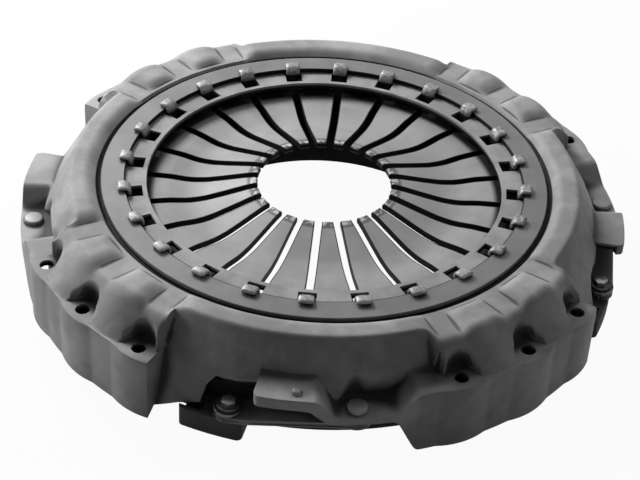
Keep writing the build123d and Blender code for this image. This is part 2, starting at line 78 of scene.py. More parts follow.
# Angles that a column of points stands on, and the widest step between columns after each.
MARKS = np.array([
    (-7, 0.35), (-5.25, 0.9), (-2.6, 1.3), (2.6, 0.4), (4, 0.5), (7, 0.7), (12.4, 0.65), (17.6, 0.5),
    (21.4, 0.5), (25.5, 0.45), (27.4, 0.45), (32.6, 0.49), (42.4, 0.45), (47.6, 0.49), (57.4, 0.45),
    (62.6, 0.45), (63.5, 0.2), (63.7, 0.6), (68.3, 0.7), (72.4, 0.7), (73.1, 0.75), (74.6, 1.1),
    (77.6, 1.1), (83, 1),
])
CREST_Z = 78.7
CREST_SLOPE = 0.98
STRAP_RISE_R, LOBE_RISE_R, LEDGE_RISE_R = 174.4, 181.0, 176.2  # where crests and ledges begin to rise
LEDGE_Z, LEDGE_SLOPE = 74.2, 2.0
VALLEY_HALF, FLANK = 8.5, 13.0  # half width of a ledge, and width of the sides that climb from it
# Widths over which corners are rounded: where the ledge, the strap bay's crest and the lobe's crest are
# reached, where the strap bay's wall turns steeper, and at the nose of the crest in a strap and a bolt bay.
LEDGE_FOLD, STRAP_FOLD, LOBE_FOLD = 1.0, 3.5, 4.0
WALL_FOLD, STRAP_NOSE_FOLD, LOBE_NOSE_FOLD = 6.0, 2.5, 6.0
ROW_SPREAD = 0.55  # spread, in rows, of the last rounding along each line of the skin
STRAP_NOSE_R, STRAP_SLOPE = 196.6, 1.684  # a strap bay's wall: where it starts at crest height, its slope,
WALL_MID_R, WALL_MID_Z, FOOT_SLOPE = 215.0, 46.5, 3.088  # its corner, and its slope below that corner
LOBE_NOSE_R, LOBE_BELLY, LOBE_SLOPE = 204.5, 4.0, 1.18  # a lobe's wall, which bulges out between two bolts
LOBES_FROM, LOBES_TO = 26.5, 63.55
LOBES_FROM_BLEND, LOBES_TO_BLEND = 0.8, 0.6
SHELF_Z = 52.0
STEEP = 8.0  # the back of a shelf or ledge is a straight drop over this height
POCKET_R, TOOL_R = 12.5, 15.0  # round backs behind a bolt and behind the strap rivet
RECESS_R, RECESS_TO = 211.4, 27.4  # back of the recess next to the strap rivet, and the angle it ends at
PAD_R, PAD_BULGE_R = 235.8, 55.0  # reach of the skirt outside a bolt, and radius of its bulge there
TRAY_R, TRAY_FROM, TRAY_CORNER = 234.9, -7.0, 5.0
SKIRT_R = 233.0
# Height of the level part outside the wall, and of the lower edge of the sheet, along one quarter.
LEVEL = np.array([(-7, 52.5), (4, 52.5), (7, 38), (17.6, 38), (21.4, 52), (90, 52)])
EDGE = np.array([
    (-7, 43.5), (2.6, 43.5), (6, 32), (17.6, 32), (21.4, 0), (63.5, 0), (63.7, 8), (68.3, 17.0), (72.4, 22.5),
    (73.1, 36), (74.6, 44.5), (83, 49),
])
WALL_ROWS, BACK_ROWS, SHELF_ROWS, SKIRT_ROWS = 12, 4, 9, 10
# Rounds of averaging: of the sharpness that lightens edges, partly as rubbed metal and partly as a painted
# highlight; of the surfaces that hollows and creases are measured from, which are darkened as painted shade;
# and of the normals along which the sheet gets its thickness.
EDGE_RUB_AND_HIGHLIGHT_ROUNDS, HOLLOW_ROUNDS, CREASE_ROUNDS, SOFT_ROUNDS = 1, 70, 6, 4


# ---------------------------------------------------------------- numbers into surfaces
def soft_min(a, b, width):
    """The lower of two heights, with the corner between them rounded over a width."""
    share = np.clip(0.5 + 0.5 * (b - a) / width, 0, 1)
    return b + (a - b) * share - width * share * (1 - share)


def ease(values, low, high):
    """0 below low, 1 above high, and a smooth step between them."""
    t = np.clip((values - low) / (high - low), 0, 1)
    return t * t * (3 - 2 * t)


def run(start, end, rows):
    """One line of even steps for each pair of numbers, from start up to but not including end."""
    return start[:, None] + np.arange(rows) / rows * (end - start)[:, None]


def soften_rows(lines, spread):
    """Gaussian average of the points along each line; its ends keep their place."""
    reach = int(3 * spread) + 1
    padded = np.pad(lines, ((0, 0), (reach, reach), (0, 0)), "reflect", reflect_type="odd")
    weights = np.exp(-0.5 * (np.arange(-reach, reach + 1) / spread) ** 2)
    count = lines.shape[1]
    return sum(w * padded[:, k : k + count] for k, w in enumerate(weights)) / weights.sum()


def turned(x, y, z, angle):
    """Points turned about the axis by an angle in radians."""
    cosine, sine = np.cos(angle), np.sin(angle)
    return np.stack([x * cosine - y * sine, x * sine + y * cosine, z + 0 * angle], -1)


def grid_quads(columns, rows):
    """Faces of a grid of columns times rows points, numbered column by column."""
    i, j = np.arange(columns - 1)[:, None], np.arange(rows - 1)[None]
    corners = [i * rows + j, i * rows + j + 1, (i + 1) * rows + j + 1, (i + 1) * rows + j]
    return np.stack(corners, -1).reshape(-1, 4)


def neighbours(quads):
    """Both ends of every side of every face, each way round."""
    ends = quads.ravel()
    onward = np.roll(quads, -1, 1).ravel()
    return np.concatenate([ends, onward]), np.concatenate([onward, ends])


def corner_normals(points, quads):
    """Unit normals at the points: the sum of the cross products of the diagonals of the faces round each."""
    p = points[quads]
    across = np.cross(p[:, 2] - p[:, 0], p[:, 3] - p[:, 1])
    normals = np.zeros_like(points)
    for k in range(4):
        np.add.at(normals, quads[:, k], across)
    return normals / np.maximum(np.linalg.norm(normals, axis=1, keepdims=True), 1e-9)


def averaged(values, quads, times):
    """Each point's value mixed half and half with its neighbours' mean, a number of times."""
    ends, others = neighbours(quads)
    count = np.maximum(np.bincount(ends, minlength=len(values)), 1)[:, None]
    for _ in range(times):
        total = np.zeros_like(values)
        np.add.at(total, ends, values[others])
        values = 0.5 * values + 0.5 * total / count
    return values


def ridge_share(points, quads, normals):
    """How sharply the surface turns at each point: the mean sine by which its neighbours lie below its
    tangent plane, above zero on ridges and below zero in creases."""
    ends, others = neighbours(quads)
    step = points[others] - points[ends]
    drop = -(step * normals[ends]).sum(1) / np.maximum(np.linalg.norm(step, axis=1), 1e-9)
    count = np.maximum(np.bincount(ends, minlength=len(points)), 1)
    return np.bincount(ends, drop, len(points)) / count


def thicken(points, quads, normals, thickness):
    """A closed sheet: the skin, its copy moved inwards along soft normals, and faces round open edges."""
    edges = np.concatenate([quads[:, [k, (k + 1) % 4]] for k in range(4)])
    key = np.sort(edges, 1) @ np.array([len(points), 1])
    _, first, count = np.unique(key, return_index=True, return_counts=True)
    rim = edges[first[count == 1]]
    shift = len(points)
    strip = np.stack([rim[:, 1], rim[:, 0], rim[:, 0] + shift, rim[:, 1] + shift], 1)
    inner = points - normals * thickness
    inner[:, 2] = np.maximum(inner[:, 2], points[:, 2].min())
    return np.concatenate([points, inner]), np.concatenate([quads, quads[:, ::-1] + shift, strip])


def smooth_faces(obj, sharp=50.0):
    """Smooth shading, with edges that turn by more than an angle kept crisp."""
    obj.data.shade_smooth()
    chosen = {"selected_objects": [obj], "selected_editable_objects": [obj]}
    with bpy.context.temp_override(object=obj, active_object=obj, **chosen):
        bpy.ops.object.shade_smooth_by_angle(angle=math.radians(sharp))


def piece(name, points, quads, **attributes):
    """A mesh in metres from points in millimetres, with a number at each point for every attribute."""
    used, back = np.unique(quads, return_inverse=True)
    points, quads = points[used], back.reshape(quads.shape)
    mesh = bpy.data.meshes.new(name)
    mesh.vertices.add(len(points))
    mesh.vertices.foreach_set("co", (points * MM).astype(np.float32).ravel())
    mesh.loops.add(quads.size)
    mesh.loops.foreach_set("vertex_index", quads.astype(np.int32).ravel())
    mesh.polygons.add(len(quads))
    mesh.polygons.foreach_set("loop_start", np.arange(0, quads.size, 4, dtype=np.int32))
    mesh.update(calc_edges=True)
    for key, values in attributes.items():
        mesh.attributes.new(key, "FLOAT", "POINT").data.foreach_set("value", values[used].astype(np.float32))
    mesh.validate()
    obj = bpy.data.objects.new(name, mesh)
    bpy.context.collection.objects.link(obj)
    return obj


# ---------------------------------------------------------------- cover
def cover_angles():
    """Angles of the columns of one quarter: even steps from each mark to the next."""
    parts = []
    for (start, step), (end, _) in zip(MARKS, MARKS[1:]):
        parts.append(np.linspace(start, end, max(1, math.ceil((end - start) / step - 0.01)), endpoint=False))
    return np.append(np.concatenate(parts), MARKS[-1, 0])


def sideways(radius, angles, middle):
    """Sideways distance of points at a radius from the line through the axis at a middle angle."""
    return radius * np.sin(np.radians(angles - middle))


def post(angles, middle, circle_r, radius, side):
    """Radius at which the line of each angle meets a round post on a circle, on its near side (-1) or far
    side (1). Where the line misses the post, it is infinitely far to the other side."""
    off = sideways(circle_r, angles, middle)
    half = np.sqrt(np.maximum(radius**2 - off**2, 0))
    reach = circle_r * np.cos(np.radians(angles - middle)) + side * half
    return np.where(np.abs(off) < radius, reach, -side * np.inf)


def lobe_share(angles):
    """1 in a bolt bay and 0 in a strap bay, with a short step between them."""
    begun = ease(angles, LOBES_FROM - LOBES_FROM_BLEND, LOBES_FROM + LOBES_FROM_BLEND)
    return begun * (1 - ease(angles, LOBES_TO - LOBES_TO_BLEND, LOBES_TO))


def nose_radius(angles):
    """Radius at which a lobe turns down to the wall: further out half-way between two bolts."""
    between = np.clip(angles, BOLT_ANGLES[0], BOLT_ANGLES[-1]) - BOLT_ANGLES[0]
    return LOBE_NOSE_R + LOBE_BELLY * np.sin(np.pi * between / PITCH) ** 2


def wall_radius(height, angles):
    """Radius of the sloping wall at a height: two cones in a strap bay, one less steep cone in a bolt bay."""
    upper = STRAP_NOSE_R + (CREST_Z - height) / STRAP_SLOPE
    strap = np.where(height < WALL_MID_Z, WALL_MID_R + (WALL_MID_Z - height) / FOOT_SLOPE, upper)
    lobe = nose_radius(angles) + (CREST_Z - height) / LOBE_SLOPE
    return strap + (lobe - strap) * lobe_share(angles)


def wall_height(radius, angles):
    """Height of the same wall at a radius, with the corner between its two cones rounded."""
    upper = CREST_Z - STRAP_SLOPE * (radius - STRAP_NOSE_R)
    strap = soft_min(upper, WALL_MID_Z - FOOT_SLOPE * (radius - WALL_MID_R), WALL_FOLD)
    lobe = CREST_Z - LOBE_SLOPE * (radius - nose_radius(angles))
    return strap + (lobe - strap) * lobe_share(angles)


def cover_height(radius, angles):
    """Height of the crown and wall. The crest rises from the flange as a rounded ramp and falls over a
    rounded nose to the wall. Inside each bolt it gives way to a flat ledge, whose sides rise from a crease
    along a parabola."""
    ledge = soft_min(FLANGE_Z + LEDGE_SLOPE * np.clip(radius - LEDGE_RISE_R, 0, None), LEDGE_Z, LEDGE_FOLD)
    strap = soft_min(FLANGE_Z + CREST_SLOPE * np.clip(radius - STRAP_RISE_R, 0, None), CREST_Z, STRAP_FOLD)
    lobe = soft_min(LEDGE_Z + CREST_SLOPE * (radius - LOBE_RISE_R), CREST_Z, LOBE_FOLD)
    in_bay = (angles > BOLT_ANGLES[0]) & (angles < BOLT_ANGLES[-1])
    crest = np.where(in_bay, np.maximum(lobe, ledge), strap)
    off = np.min([np.abs(sideways(radius, angles, bolt)) for bolt in BOLT_ANGLES], axis=0)
    flank = 1 - (1 - np.clip((off - VALLEY_HALF) / FLANK, 0, 1)) ** 2
    nose_fold = STRAP_NOSE_FOLD + (LOBE_NOSE_FOLD - STRAP_NOSE_FOLD) * lobe_share(angles)
    return soft_min(ledge + (crest - ledge) * flank, wall_height(radius, angles), nose_fold)


def softened(line, angles, reach=0.6, samples=7):
    """A line over the angles with its corners rounded: its mean within a short reach of each angle."""
    shifts = np.linspace(-reach, reach, samples)
    return np.mean([np.interp(angles + shift, *line.T) for shift in shifts], axis=0)


def lower_lines(angles):
    """Lines from the last row of the crown: down the wall, down the back of a pocket or recess, out over the
    level part and down the skirt or lip. Beside a window there is the wall alone, to its lower edge."""
    level, edge = softened(LEVEL, angles), softened(EDGE, angles)
    edge = np.where(angles > RECESS_TO, np.interp(angles, *EDGE.T), edge)
    wall_only = angles > LOBES_TO
    top = np.where(wall_only, LEVEL[0, 1], level)
    back = wall_radius(top, angles)
    back = np.where((angles > RIVET_ANGLE) & (angles < RECESS_TO), np.minimum(back, RECESS_R), back)
    rim = np.interp(angles, LEVEL[3:5, 0], [TRAY_R, SKIRT_R])
    for bolt in BOLT_ANGLES:
        back = np.minimum(back, post(angles, bolt, BOLT_R, POCKET_R, -1))
        rim = np.maximum(rim, post(angles, bolt, PAD_R - PAD_BULGE_R, PAD_BULGE_R, 1))
    back = np.minimum(back, post(angles, RIVET_ANGLE, BOLT_R, TOOL_R, -1))
    to_corner = np.clip(TRAY_CORNER - sideways(TRAY_R, angles, TRAY_FROM), 0, TRAY_CORNER)
    rim = rim - TRAY_CORNER + np.sqrt(TRAY_CORNER**2 - to_corner**2)
    bottom = np.where(wall_only, wall_radius(edge, angles), rim)
    rim = np.where(wall_only, (back + bottom) / 2, rim)
    drop = np.minimum(back, wall_radius(top + STEEP, angles))
    first = np.full_like(angles, CROWN_ROWS[-1])
    radius = np.concatenate([
        run(first, drop, WALL_ROWS), run(drop, back, BACK_ROWS), run(back, rim, SHELF_ROWS),
        run(rim, bottom, SKIRT_ROWS), bottom[:, None],
    ], axis=1)
    on_wall = cover_height(radius, angles[:, None])
    height = np.concatenate([
        on_wall[:, :WALL_ROWS], run(on_wall[:, WALL_ROWS], top, BACK_ROWS), run(top, top, SHELF_ROWS),
        run(top, edge, SKIRT_ROWS), edge[:, None],
    ], axis=1)
    height = np.where(wall_only[:, None], np.maximum(on_wall, edge[:, None]), height)
    return np.stack([radius, height], -1)


def cover_quarter():
    """Points of one quarter of the skin on a grid of angle and row, and which of them bound a lug hole."""
    angles = cover_angles()
    column = angles[:, None]
    flange_r, crown_r = np.array(FLANGE_ROWS), np.array(CROWN_ROWS)
    flange = np.stack(np.broadcast_arrays(flange_r + 0 * column, FLANGE_Z), -1)
    crown = np.stack(np.broadcast_arrays(crown_r + 0 * column, cover_height(crown_r, column)), -1)
    skin = np.concatenate([flange, crown, lower_lines(angles)[:, 1:]], 1)
    start = len(flange_r) + len(crown_r) - 2
    skin[:, start:] = soften_rows(skin[:, start:], ROW_SPREAD)
    radius = skin[..., 0]
    off = (column + PITCH / 2) % PITCH - PITCH / 2
    x, y = radius * np.cos(np.radians(off)), radius * np.sin(np.radians(off))
    row = np.arange(skin.shape[1])
    in_hole = (np.abs(off) < LUG_HOLE_ANGLE + NEAR) & (row >= HOLE_ROWS[0]) & (row <= HOLE_ROWS[1])
    side = in_hole & (np.abs(off) > LUG_HOLE_ANGLE - NEAR)
    y = np.where(side, np.sign(off) * LUG_HOLE_HALF, y)
    ends = in_hole & ((row == HOLE_ROWS[0]) | (row == HOLE_ROWS[1]))
    x = np.where(ends, radius, x)
    return turned(x, y, skin[..., 1], np.radians(column - off)), in_hole


def cut_bolt_holes(points, quads):
    """Round holes: the faces inside each go, and the points inside move out to its edge."""
    for angle in (90 * q + bolt for q in range(QUARTERS) for bolt in BOLT_ANGLES):
        centre = BOLT_R * np.array([math.cos(math.radians(angle)), math.sin(math.radians(angle))])
        away = points[:, :2] - centre
        distance = np.hypot(*away.T)
        inside = (distance < BOLT_HOLE_R) & (np.abs(points[:, 2] - SHELF_Z) < HOLE_REACH)
        quads = quads[~inside[quads].all(1)]
        outward = away[inside] / np.maximum(distance[inside], 1e-6)[:, None]
        points[inside, :2] = centre + outward * BOLT_HOLE_R
    return points, quads


def cover():
    """Four quarters of the skin side by side. The last column of each shares the crown and wall of the next
    one's first, so the sheet is whole there, and only the tray's own edge is open."""
    quarter, in_hole = cover_quarter()
    columns, rows = in_hole.shape
    turns = np.radians(90 * np.arange(QUARTERS))[:, None, None]
    points = turned(*np.moveaxis(quarter, -1, 0), turns).reshape(-1, 3)
    quads = grid_quads(columns, rows)
    quads = quads[~in_hole.ravel()[quads].all(1)]
    quads = np.concatenate([quads + q * columns * rows for q in range(QUARTERS)])
    index = np.arange(len(points)).reshape(QUARTERS, columns, rows)
    shared = len(FLANGE_ROWS) + len(CROWN_ROWS) + WALL_ROWS + BACK_ROWS - 4
    index[:, -1, :shared] = np.roll(index, -1, 0)[:, 0, :shared]
    quads = index.ravel()[quads]
    points, quads = cut_bolt_holes(points, quads)
    normals = corner_normals(points, quads)
    # The sharpness measured here lightens edges, partly as rubbed metal and partly as a painted highlight;
    # the hollows and creases are darkened as painted shade.
    wear = averaged(ridge_share(points, quads, normals)[:, None], quads, EDGE_RUB_AND_HIGHLIGHT_ROUNDS)[:, 0]
    hollow = ((averaged(points, quads, HOLLOW_ROUNDS) - points) * normals).sum(1)
    crease = ((averaged(points, quads, CREASE_ROUNDS) - points) * normals).sum(1)
    soft = averaged(normals, quads, SOFT_ROUNDS)
    soft /= np.maximum(np.linalg.norm(soft, axis=1, keepdims=True), 1e-9)
    points, quads = thicken(points, quads, soft, SHEET)
    inside = np.repeat([0.0, 1.0], len(wear))
    wear, hollow, crease = np.tile([wear, hollow, crease], 2)
    obj = piece("pressed_cover", points, quads, wear=wear, hollow=hollow, crease=crease, inside=inside)
    smooth_faces(obj)
    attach(obj, "housing")
    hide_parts("cover")
    return obj


# ---------------------------------------------------------------- support ring and its lugs
LUG_MID_R, LUG_END_R = 151.6, 160.6  # middle of the upright leg, and end of the head
LUG_FOOT_Z, LUG_TOP_Z = 48.0, 79.0
LUG_HALF, LUG_SHEET = 5.8, 4.0
LUG_BEND, LUG_EDGE = 3.4, 2.3  # radius of the bend, and of the round edges at the end of the head
LUG_POWER = 0.65  # power of sine and cosine in the section: 1 is an ellipse, 0 a rectangle
SUPPORT_IN_R, SUPPORT_OUT_R, SUPPORT_LOW_Z, SUPPORT_TOP_Z = 148.4, 166.0, 47.0, 51.5
SUPPORT_STEPS = 10 * FINGERS


def lug(bend_rows=9, end_rows=7, around=32):
    """One lug as a rounded section carried along a bent line. The line stands upright, turns outwards
    through a quarter circle and runs level; over its last stretch the section shrinks like a quarter circle
    to a round end. The section is a superellipse, as wide as the lug and as thick as its sheet."""
    mid_z = LUG_TOP_Z - LUG_SHEET / 2
    turn = np.linspace(0, math.pi / 2, bend_rows)
    bend = [LUG_MID_R + LUG_BEND * (1 - np.cos(turn)), mid_z - LUG_BEND * (1 - np.sin(turn))]
    close = np.linspace(0, math.pi / 2, end_rows)
    level = [LUG_END_R - LUG_EDGE * (1 - np.sin(close)), np.full(end_rows, mid_z)]
    radius = np.concatenate([[LUG_MID_R, LUG_MID_R], bend[0], level[0]])
    height = np.concatenate([[LUG_FOOT_Z, mid_z - 2 * LUG_BEND], bend[1], level[1]])
    tilt = np.concatenate([[0, 0], turn, np.full(end_rows, math.pi / 2)])
    shrink = np.concatenate([np.zeros(2 + bend_rows), 1 - np.cos(close)]) * LUG_EDGE
    shrink[-1] = LUG_SHEET / 2
    spot = np.linspace(0, 2 * math.pi, around, endpoint=False)
    wide = np.sign(np.cos(spot)) * np.abs(np.cos(spot)) ** LUG_POWER
    thick = np.sign(np.sin(spot)) * np.abs(np.sin(spot)) ** LUG_POWER
    y = (LUG_HALF - shrink)[:, None] * wide
    inward = (LUG_SHEET / 2 - shrink)[:, None] * thick
    x = radius[:, None] - inward * np.cos(tilt)[:, None]
    z = height[:, None] + inward * np.sin(tilt)[:, None]
    points = np.stack([x, y, z], -1)
    rows = len(radius)
    i, j = np.arange(rows - 1)[:, None], np.arange(around)[None]
    onward = (j + 1) % around
    corners = [i * around + j, i * around + onward, (i + 1) * around + onward, (i + 1) * around + j]
    return points.reshape(-1, 3), np.stack(corners, -1).reshape(-1, 4)


def revolved(section, steps):
    """A closed outline in radius and height, in counter-clockwise order, turned once about the axis."""
    turn = np.linspace(0, 2 * math.pi, steps, endpoint=False)[:, None]
    radius, height = section.T
    count = len(section)
    i, j = np.arange(steps)[:, None], np.arange(count)[None]
    onward, beside = (i + 1) % steps, (j + 1) % count
    corners = [i * count + j, onward * count + j, onward * count + beside, i * count + beside]
    return turned(radius, 0, height, turn).reshape(-1, 3), np.stack(corners, -1).reshape(-1, 4)


def support_ring():
    """The flat ring with a lug at every pitch."""
    section = np.array([
        (SUPPORT_IN_R, SUPPORT_LOW_Z), (SUPPORT_OUT_R, SUPPORT_LOW_Z),
        (SUPPORT_OUT_R, SUPPORT_TOP_Z), (SUPPORT_IN_R, SUPPORT_TOP_Z),
    ])
    points, quads = revolved(section, SUPPORT_STEPS)
    lug_points, lug_quads = lug()
    lugs = turned(*lug_points.T, np.radians(PITCH * np.arange(FINGERS))[:, None])
    shift = len(points) + len(lug_points) * np.arange(FINGERS)[:, None, None]
    points = np.concatenate([points, lugs.reshape(-1, 3)])
    quads = np.concatenate([quads, (lug_quads + shift).reshape(-1, 4)])
    obj = piece("lugs_and_ring", points, quads)
    smooth_faces(obj)
    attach(obj, "housing")
    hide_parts("support_ring")
    return obj


# ---------------------------------------------------------------- rounded copies of CAD pieces
WELD = 2e-6  # metres within which points of a CAD mesh are the same
FLAT_ANGLE = 0.5  # faces that turn by less are joined
FINGER_EDGE = 0.5
EDGE_SEGMENTS = 2


def merged_copy(name, node):
    """A copy of a CAD node's mesh as one closed surface with flat faces joined, in a new object."""
    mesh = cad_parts[node].data.copy()
    mesh.name = name
    shape = bmesh.new()
    shape.from_mesh(mesh)
    bmesh.ops.remove_doubles(shape, verts=shape.verts, dist=WELD)
    flat = math.radians(FLAT_ANGLE)
    bmesh.ops.dissolve_limit(shape, angle_limit=flat, verts=shape.verts, edges=shape.edges)
    shape.to_mesh(mesh)
    shape.free()
    obj = bpy.data.objects.new(name, mesh)
    bpy.context.collection.objects.link(obj)
    return obj


def bevelled(obj, width, turn=35.0):
    """Rounds every edge that turns by more than an angle, with a live modifier."""
    modifier = obj.modifiers.new("edges", "BEVEL")
    modifier.width, modifier.segments = width * MM, EDGE_SEGMENTS
    modifier.limit_method, modifier.angle_limit = "ANGLE", math.radians(turn)
    modifier.miter_outer = "MITER_ARC"
    smooth_faces(obj)
    return obj


def rounded(name, node, body, width):
    """A CAD node's piece with its edges broken, in the node's place."""
    obj = bevelled(merged_copy(name, node), width)
    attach(obj, body)
    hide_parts(node)
    return obj


def finger(number):
    """One finger of the diaphragm spring, its slot sides moved back to the full width of the slots."""
    node = "diaphragm_lever_" + number
    obj = merged_copy("finger_" + number, node)
    count = len(obj.data.vertices)
    place = np.empty(count * 3, np.float32)
    obj.data.vertices.foreach_get("co", place)
    x, y, z = place.reshape(-1, 3).T / MM
    radius, angle = np.hypot(x, y), np.degrees(np.arctan2(y, x))
    off = np.radians((angle + PITCH / 2) % PITCH - PITCH / 2)
    line = np.radians(angle) - off
    along, aside = radius * np.cos(off), radius * np.sin(off)
    beside_slot = (np.abs(aside) < SLOT_HALF) & (along < SLOT_END_R)
    aside = np.where(beside_slot, np.sign(aside) * SLOT_HALF, aside)
    moved = turned(along, aside, z, line)
    obj.data.vertices.foreach_set("co", (moved * MM).astype(np.float32).ravel())
    bevelled(obj, FINGER_EDGE)
    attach(obj, "lever_" + number)
    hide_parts(node)
    return obj


def strap_pack(side, angle):
    """One pack of strap leaves, from its rivet on the cover to its bolt on the plate, cut across between them
    so that it can bend there."""
    node = "strap_pack_" + side
    obj = merged_copy(side + "_strap_leaves", node)
    rivet = turned(BOLT_R, 0, STRAP_Z, math.radians(RIVET_ANGLE + angle))
    bolt = turned(PLATE_BOLT_R, 0, STRAP_Z, math.radians(PLATE_BOLT_ANGLE + angle))
    along = (bolt - rivet) / np.linalg.norm(bolt - rivet)
    start, end = rivet + along * STRAP_FLAT, bolt - along * STRAP_FLAT
    shape = bmesh.new()
    shape.from_mesh(obj.data)
    for share in np.linspace(0, 1, STRAP_CUTS):
        whole = shape.verts[:] + shape.edges[:] + shape.faces[:]
        at = (start + (end - start) * share) * MM
        bmesh.ops.bisect_plane(shape, geom=whole, dist=1e-6, plane_co=at, plane_no=along)
    shape.to_mesh(obj.data)
    shape.free()
    smooth_faces(obj, sharp=30.0)
    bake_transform(obj)
    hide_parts(node)
    return obj


# ---------------------------------------------------------------- shader maths
class Value:
    """A socket with arithmetic: each operation adds one Math node."""

    def __init__(self, nodes, socket):
        self.nodes, self.socket = nodes, socket

    def math(self, operation, a, b):
        return self.nodes.node("ShaderNodeMath", {"operation": operation}, {0: a, 1: b})

    def __add__(self, other):
        return self.math("ADD", self, other)

    def __sub__(self, other):
        return self.math("SUBTRACT", self, other)

    def __rsub__(self, other):
        return self.math("SUBTRACT", other, self)

    def __mul__(self, other):
        return self.math("MULTIPLY", self, other)

    def most(self, other):
        return self.math("MAXIMUM", self, other)

    __radd__ = __add__
    __rmul__ = __mul__


class Nodes:
    """The nodes of a material or of the world."""

    def __init__(self, tree):
        self.tree = tree

    def node(self, kind, settings=None, inputs=None, output=0):
        """Adds one node with its settings and inputs, and gives back its chosen output."""
        made = self.tree.nodes.new(kind)
        for key, value in (settings or {}).items():
            setattr(made, key, value)
        for key, value in (inputs or {}).items():
            self.plug(made.inputs[key], value)
        return Value(self, made.outputs[output])

    def plug(self, socket, value):
        if isinstance(value, Value):
            self.tree.links.new(value.socket, socket)
        else:
            socket.default_value = value

    def end(self, name, shader, seen_shader, share=1.0):
        """Shows the camera and reflections a share of the second shader, and other rays the first alone."""
        seen = self.node("ShaderNodeLightPath", output="Is Camera Ray")
        for ray in ("Is Glossy Ray", "Is Transmission Ray"):
            seen = seen.most(self.node("ShaderNodeLightPath", output=ray))
        inputs = {0: seen * share, 1: shader, 2: seen_shader}
        self.plug(self.tree.nodes[name].inputs[0], self.node("ShaderNodeMixShader", {}, inputs))


class Finish(Nodes):
    """One procedural material."""

    def __init__(self, name, **constants):
        self.data = bpy.data.materials.new(name)
        self.data.use_nodes = True
        super().__init__(self.data.node_tree)
        self.shader = self.tree.nodes["Principled BSDF"]
        self.use(**constants)

    def place(self):
        """Place on the clutch in metres."""
        return self.node("ShaderNodeTexCoord", output="Object")

    def noise(self, scale, detail, rough, stretch=(1, 1, 1)):
        """Cloudy pattern between 0 and 1, fixed to the clutch."""
        at = self.node("ShaderNodeMapping", {}, {"Vector": self.place(), "Scale": stretch})
        inputs = {"Vector": at, "Scale": scale, "Detail": detail, "Roughness": rough}
        return self.node("ShaderNodeTexNoise", {}, inputs)

    def part_of(self, vector, axis):
        """One coordinate of a vector: 0, 1 or 2."""
        return self.node("ShaderNodeSeparateXYZ", {}, {0: vector}, axis)

    def radius(self):
        """Distance from the clutch axis in millimetres."""
        x, y = self.part_of(self.place(), 0), self.part_of(self.place(), 1)
        return self.node("ShaderNodeMath", {"operation": "SQRT"}, {0: x * x + y * y}) * (1 / MM)

    def height(self):
        """Height above the mounting face in millimetres."""
        return self.part_of(self.place(), 2) * (1 / MM)

    def off_pitch(self, radius):
        """Sideways distance in millimetres from the nearest line between two fingers."""
        x, y = self.part_of(self.place(), 0), self.part_of(self.place(), 1)
        angle = self.node("ShaderNodeMath", {"operation": "ARCTAN2"}, {0: y, 1: x})
        pitch = math.radians(PITCH)
        off = self.node("ShaderNodeMath", {"operation": "PINGPONG"}, {0: angle, 1: pitch / 2})
        return radius * self.node("ShaderNodeMath", {"operation": "SINE"}, {0: off})

    def kept(self, attribute):
        """A number kept at the points of the mesh."""
        return self.node("ShaderNodeAttribute", {"attribute_name": attribute}, output=2)

    def upward(self):
        """1 where the surface faces straight up, 0 where it is upright."""
        normal = self.node("ShaderNodeTexCoord", output="Normal")
        return self.part_of(normal, 2)

    def band(self, value, low, high):
        """0 below low and 1 above high, with a soft step between them."""
        inputs = {"Value": value, "From Min": low, "From Max": high}
        return self.node("ShaderNodeMapRange", {"interpolation_type": "SMOOTHSTEP"}, inputs)

    def mix(self, factor, a, b):
        """Colour a where the factor is 0 and b where it is 1."""
        colours = [value if isinstance(value, Value) else (*value, 1.0) for value in (a, b)]
        return self.node("ShaderNodeMix", {"data_type": "RGBA"}, {0: factor, 6: colours[0], 7: colours[1]}, 2)

    def bump(self, height, strength, distance):
        """Small relief in the shading."""
        inputs = {"Height": height, "Strength": strength, "Distance": distance}
        self.plug(self.shader.inputs["Normal"], self.node("ShaderNodeBump", {}, inputs))

    def use(self, **sockets):
        """Sets or links sockets of the shader, named with underscores for spaces."""
        for name, value in sockets.items():
            self.plug(self.shader.inputs[name.replace("_", " ")], value)


# ---------------------------------------------------------------- finishes
UPRIGHT = (1, 1, 0.12)  # draws a pattern out along the axis
# Pairs of radii, heights or distances between which a finish changes.
SKIRT_TOP_Z = (44.0, 52.0)
# The pairs below bound painted shade and painted light: in creases and hollows, in the groove, on the ring's
# inner side, low on the lug legs, on and round the finger tips, along the slots and under the flange.
CREASE_SHADE_R, CREASE_SHADE_Z = (177.0, 180.0), (52.5, 56.0)
HOLLOW_SHADE_R = (184.0, 190.0)
GROOVE_SHADE_IN_R, GROOVE_SHADE_OUT_R = (171.8, 172.2), (176.2, 176.9)
RING_SIDE_SHADE_R = (154.7, 155.2)
LUG_LEG_SHADE_Z = (71.6, 73.2)
TIP_R = (57.5, 59.0)
TIP_SHADE_LINE_IN_R, TIP_SHADE_LINE_OUT_R = (57.0, 58.4), (59.2, 61.0)
SLOT_SHADE_SIDE, SLOT_END_SHADE_R = (3.3, 3.8), (138.5, 139.5)
FLANGE_SHADE_R = (131.0, 136.5)


def grey(level):
    """A grey that is a touch cool."""
    return (level, level, level * 1.01)


